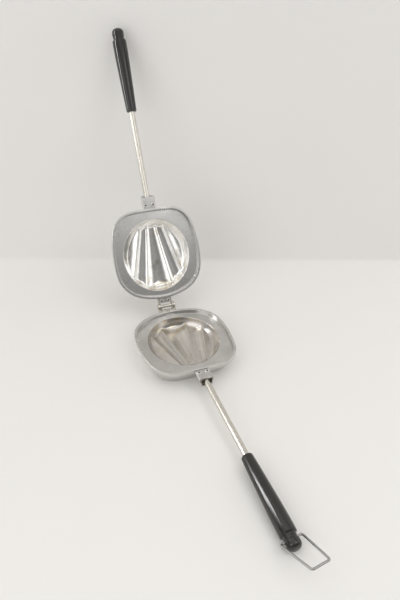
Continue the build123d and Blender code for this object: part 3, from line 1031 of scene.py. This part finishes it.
class PIEIRON_OT_hinge(bpy.types.Operator):
    """Model the two folded hinge leaves and the pin through their ears"""

    bl_idname = "pieiron.hinge"
    bl_label = "Hinge"

    def execute(self, context):
        settings = context.scene.pie_iron
        sizes = settings.hinge
        finish = hinge_steel(settings)
        for half in HALVES:
            node = f"{half}_hinge_leaf"
            piece = from_solid(node, f"{half}_folded_leaf")
            soften_edges(piece, 0.0002)
            seat(piece, half, f"{half}_half", node, finish)
        pin, head, height = sizes.pin / 2, sizes.pin_head / 2, sizes.pin_head_height
        span = sizes.pin_span / 2
        edge = 0.0006
        half_profile = [(pin, span), (head, span), (head, span + height - edge)]
        half_profile += arc((head - edge, span + height - edge), edge, 0, 90, 5)[1:]
        top = span + height
        half_profile += [(0.0012, top), (0.0009, top - 0.0002), (0, top - 0.0002)]
        profile = [(r, -h) for r, h in reversed(half_profile)] + half_profile
        piece = turned("headed_hinge_pin", profile, 48)
        soften_edges(piece, 0.00015)
        bake_place(piece, LOWER @ Matrix.Rotation(pi / 2, 4, "Y"))
        seat(piece, "lower", "lower_half", "hinge_pin", finish)
        return {"FINISHED"}


class PIEIRON_OT_rivets(bpy.types.Operator):
    """Model the rivets through the sleeves and the hinge leaves"""

    bl_idname = "pieiron.rivets"
    bl_label = "Rivets"

    def execute(self, context):
        settings = context.scene.pie_iron
        sizes = settings.hinge
        finishes = [rivet_metal(settings), painted_dimple_shade(settings)]
        rise, shaft = sizes.rivet_rise, sizes.shaft / 2
        dimple, deep = sizes.dimple / 2, sizes.dimple_depth
        pairs = {
            "handle": (sizes.handle_rivet / 2, sizes.handle_spread, sizes.handle_reach, -0.0015, 0.0070),
            "hinge": (sizes.hinge_rivet / 2, sizes.hinge_spread, sizes.hinge_reach, -0.0013, 0.0076),
        }
        for kind, (head, spread, reach, face, foot) in pairs.items():
            profile = [(0, rise - deep), (dimple * 0.6, rise - deep * 0.95),
                       (dimple * 0.88, rise - deep * 0.6)]
            profile += [(dimple, rise - 0.00012), (dimple * 1.06, rise - 0.00003), (dimple * 1.2, rise)]
            profile += arc((head - rise * 0.8, rise * 0.2), rise * 0.8, 90, 0, 7)
            profile += [(head, 0), (shaft, 0), (shaft, -foot - face), (0, -foot - face)]
            rivet = turned("rivet", profile, 40)
            shade(rivet, 45)
            for finish in finishes:
                rivet.data.materials.append(finish)
            # Faces in the dimple take the second, darkened finish: painted shade in the hollow.
            def in_dimple(middle, _):
                return int(middle.z > 0 and hypot(middle.x, middle.y) < dimple * 0.95)

            assign_by_place(rivet, in_dimple)
            sides = []
            for side in (-1, 1):
                one = copied(rivet, "one_rivet")
                bake_place(one, Matrix.Translation((side * spread, -reach, face)))
                sides.append(one)
            pair = joined(*sides)
            for half, place in HALVES.items():
                piece = copied(pair, f"{half}_{kind}_rivet_pair")
                bake_place(piece, place)
                seat(piece, half, f"{half}_half", f"{half}_{kind}_rivets", None)
            bpy.data.objects.remove(rivet)
            bpy.data.objects.remove(pair)
        return {"FINISHED"}


# ---------------------------------------------------------------- the wire loop

class PIEIRON_OT_latch_loop(bpy.types.Operator):
    """Bend the wire loop that holds the two grips together"""

    bl_idname = "pieiron.latch_loop"
    bl_label = "Wire loop"

    def execute(self, context):
        settings = context.scene.pie_iron
        sizes = settings.loop
        near, far = sizes.near / 2, sizes.far / 2
        inside = near - sizes.bend - sizes.tail
        corners = [Vector(p) for p in ((inside, 0, 0), (near, 0, 0), (far, -sizes.length, 0),
                                       (-far, -sizes.length, 0), (-near, 0, 0), (-inside, 0, 0))]
        deselect_all()
        bpy.ops.mesh.primitive_circle_add(vertices=20, radius=sizes.wire / 2, fill_type="NGON",
                                          rotation=(0, pi / 2, 0), location=corners[0])
        piece = named("bent_wire_loop")
        bpy.ops.object.transform_apply(location=True, rotation=True, scale=True)
        edit()
        here = corners[0]
        for before, corner, after in zip(corners, corners[1:], corners[2:]):
            arriving, leaving = (corner - before).normalized(), (after - corner).normalized()
            turn = acos(arriving.dot(leaving))
            back = sizes.bend * tan(turn / 2)
            start = corner - arriving * back
            self.draw_out(start - here)
            centre = start + Vector((arriving.y, -arriving.x, 0)) * sizes.bend
            bpy.ops.mesh.spin(steps=10, angle=turn, center=centre, axis=(0, 0, 1))
            here = corner + leaving * back
        self.draw_out(corners[-1] - here)
        leave_edit()
        tidy_mesh(piece)
        soften_edges(piece, 0.0003, 3, 50)
        pivot = Vector(LOOP["pos_m"])
        across = Vector(LOOP["axis"])
        skew = Matrix.Rotation(atan2(-across.y, -across.x), 4, "Z")
        raised = Matrix.Rotation(radians(-25), 4, "X")
        bake_place(piece, Matrix.Translation(pivot) @ skew @ raised)
        seat(piece, "lower", "latch_loop", "latch_loop", drawn_wire(settings))
        return {"FINISHED"}

    @staticmethod
    def draw_out(run):
        """Draws the wire's end along a straight run in even steps."""
        steps = max(1, round(run.length / 0.004))
        for _ in range(steps):
            bpy.ops.mesh.extrude_region_move(TRANSFORM_OT_translate={"value": run / steps})


# ---------------------------------------------------------------- the stage

def aimed(location, target):
    """Turn that points a lamp at a target."""
    return (Vector(target) - Vector(location)).to_track_quat("-Z", "Y").to_euler()


class PIEIRON_OT_stage(bpy.types.Operator):
    """Lay the pale floor and backdrop, hang the soft lamps and set up the camera"""

    bl_idname = "pieiron.stage"
    bl_label = "Stage"

    def execute(self, context):
        settings = context.scene.pie_iron
        stage = settings.stage
        self.backdrop(settings)
        self.lamps(stage)
        self.camera(stage)
        context.scene.view_settings.view_transform = "Standard"
        return {"FINISHED"}

    def backdrop(self, settings):
        """One sheet: floor, a small cove and a wall that leans back a little."""
        foot = Vector((0.0, 0.2275, 0.0))
        along = Vector((0.5832, -0.2054, 0)).normalized()
        back = Vector((-along.y, along.x, 0))
        deselect_all()
        bpy.ops.mesh.primitive_plane_add(size=1)
        sheet = named("paper_sweep")
        half_width, depth, height, lean, cove = 5.0, 5.0, 1.3, radians(6), 0.006
        across, front = along * half_width, back * depth
        corners = [foot - across - front, foot + across - front, foot - across, foot + across]
        for vertex, corner in zip(sheet.data.vertices, corners):
            vertex.co = corner

        def select_foot():
            """Selects only the edge where the wall meets the floor."""
            bpy.ops.mesh.select_all(action="DESELECT")
            mesh = bmesh.from_edit_mesh(sheet.data)
            for edge in mesh.edges:
                if all(abs((v.co - foot).dot(back)) < 0.01 and v.co.z < 0.01 for v in edge.verts):
                    edge.select_set(True)
            bmesh.update_edit_mesh(sheet.data)

        edit()
        select_foot()
        rise = Vector((0, 0, height)) + back * tan(lean) * height
        bpy.ops.mesh.extrude_region_move(TRANSFORM_OT_translate={"value": rise})
        select_foot()
        bpy.ops.mesh.bevel(offset=cove, segments=8, affect="EDGES")
        mesh = bmesh.from_edit_mesh(sheet.data)
        mesh.normal_update()
        for face in mesh.faces:
            if face.normal.dot(Vector((0, 0, 1)) - back) < 0:
                face.normal_flip()
        bmesh.update_edit_mesh(sheet.data)
        bpy.ops.mesh.select_all(action="SELECT")
        leave_edit()
        pick(sheet)
        bpy.ops.object.shade_smooth_by_angle(angle=radians(30))
        sheet.data.materials.append(paper(settings))

    def lamps(self, stage):
        """A low soft lamp on each side, one above the camera, and a room that is dim behind it."""
        target = Vector((0.0, 0.1, 0.08))
        plans = [
            ("left_lamp", -57, 22, 1.5, (1.2, 1.0), stage.left),
            ("right_lamp", 66, 15, 1.5, (0.75, 0.85), stage.right),
            ("high_lamp", 30, 42, 1.4, (0.65, 0.6), stage.high),
            ("window", -107, 28, 1.1, (0.10, 0.8), stage.window),
        ]
        for name, around, up, away, size, power in plans:
            turn, lift = radians(around), radians(up)
            location = target + away * Vector((sin(turn) * cos(lift), -cos(turn) * cos(lift), sin(lift)))
            deselect_all()
            bpy.ops.object.light_add(type="AREA", location=location, rotation=aimed(location, target))
            lamp = bpy.context.object
            lamp.name = name
            lamp.data.shape = "RECTANGLE"
            lamp.data.size, lamp.data.size_y = size
            lamp.data.energy = power
            lamp.visible_diffuse = name != "window"
        world = bpy.data.worlds.new("soft_room")
        bpy.context.scene.world = world
        world.use_nodes = True
        nodes, links = world.node_tree.nodes, world.node_tree.links
        background = nodes["Background"]
        background.inputs["Strength"].default_value = stage.room
        source = nodes.new("ShaderNodeTexCoord")
        split = nodes.new("ShaderNodeSeparateXYZ")
        ramp = nodes.new("ShaderNodeValToRGB")
        horizon, overhead = ramp.color_ramp.elements
        horizon.position, horizon.color = 0.48, (0.21, 0.207, 0.203, 1)
        overhead.position, overhead.color = 0.93, (1.0, 0.985, 0.96, 1)
        clouds = nodes.new("ShaderNodeTexNoise")
        clouds.inputs["Scale"].default_value = 2.4
        clouds.inputs["Detail"].default_value = 1.0
        depth = nodes.new("ShaderNodeValToRGB")
        dim, bright = depth.color_ramp.elements
        dim.position, dim.color = 0.36, (0.62, 0.62, 0.62, 1)
        bright.position = 0.64
        both = nodes.new("ShaderNodeMix")
        both.data_type, both.blend_type = "RGBA", "MULTIPLY"
        share, first, second = [socket for socket in both.inputs if socket.enabled]
        share.default_value = 1.0
        links.new(source.outputs["Generated"], split.inputs["Vector"])
        links.new(source.outputs["Generated"], clouds.inputs["Vector"])
        links.new(clouds.outputs["Fac"], depth.inputs["Fac"])
        links.new(depth.outputs["Color"], second)
        links.new(split.outputs["Z"], ramp.inputs["Fac"])
        links.new(ramp.outputs["Color"], first)
        links.new(next(socket for socket in both.outputs if socket.enabled), background.inputs["Color"])

    def camera(self, stage):
        """The camera stands where the photograph was taken from, turned and tilted as it was."""
        yaw, down, roll = radians(22.37), radians(35.65), radians(-1.85)
        forward = Vector((sin(yaw) * cos(down), cos(yaw) * cos(down), -sin(down)))
        right = Vector((cos(yaw), -sin(yaw), 0))
        below = forward.cross(right)
        turned_right = cos(roll) * right + sin(roll) * below
        turned_below = cos(roll) * below - sin(roll) * right
        deselect_all()
        bpy.ops.object.camera_add(location=(-0.1862, -0.4984, 0.4621))
        camera = bpy.context.object
        camera.name = "photo_camera"
        turn = Matrix((turned_right, -turned_below, -forward)).transposed()
        camera.rotation_euler = turn.to_euler()
        camera.data.lens = stage.lens
        camera.data.sensor_width = 36
        bpy.context.scene.camera = camera


class PIEIRON_PT_panel(bpy.types.Panel):
    """Lists the pieces in the order they are made"""

    bl_idname = "PIEIRON_PT_panel"
    bl_label = "Pie Iron"
    bl_space_type = "VIEW_3D"
    bl_region_type = "UI"
    bl_category = "Pie Iron"

    def draw(self, context):
        for operator in OPERATORS:
            self.layout.operator(operator.bl_idname)
        for group in ("head", "shell", "handle", "loop", "hinge", "finish", "stage"):
            box = self.layout.box()
            box.label(text=group.capitalize())
            settings = getattr(context.scene.pie_iron, group)
            for key in settings.bl_rna.properties.keys():
                if key not in ("rna_type", "name"):
                    box.prop(settings, key)


OPERATORS = (
    PIEIRON_OT_heads,
    PIEIRON_OT_sleeves,
    PIEIRON_OT_shanks,
    PIEIRON_OT_grips,
    PIEIRON_OT_hinge,
    PIEIRON_OT_rivets,
    PIEIRON_OT_latch_loop,
    PIEIRON_OT_stage,
)
CLASSES = (HeadSizes, ShellSizes, HandleSizes, LoopSizes, HingeSizes, Finishes, StageSizes, PieIron,
           *OPERATORS, PIEIRON_PT_panel)


def register():
    for made in CLASSES:
        bpy.utils.register_class(made)
    bpy.types.Scene.pie_iron = PointerProperty(type=PieIron)


def unregister():
    del bpy.types.Scene.pie_iron
    for made in reversed(CLASSES):
        bpy.utils.unregister_class(made)


def main():
    """Makes every piece and the stage."""
    register()
    bpy.ops.pieiron.heads()
    bpy.ops.pieiron.sleeves()
    bpy.ops.pieiron.shanks()
    bpy.ops.pieiron.grips()
    bpy.ops.pieiron.hinge()
    bpy.ops.pieiron.rivets()
    bpy.ops.pieiron.latch_loop()
    bpy.ops.pieiron.stage()


if __name__ == "__main__":
    main()
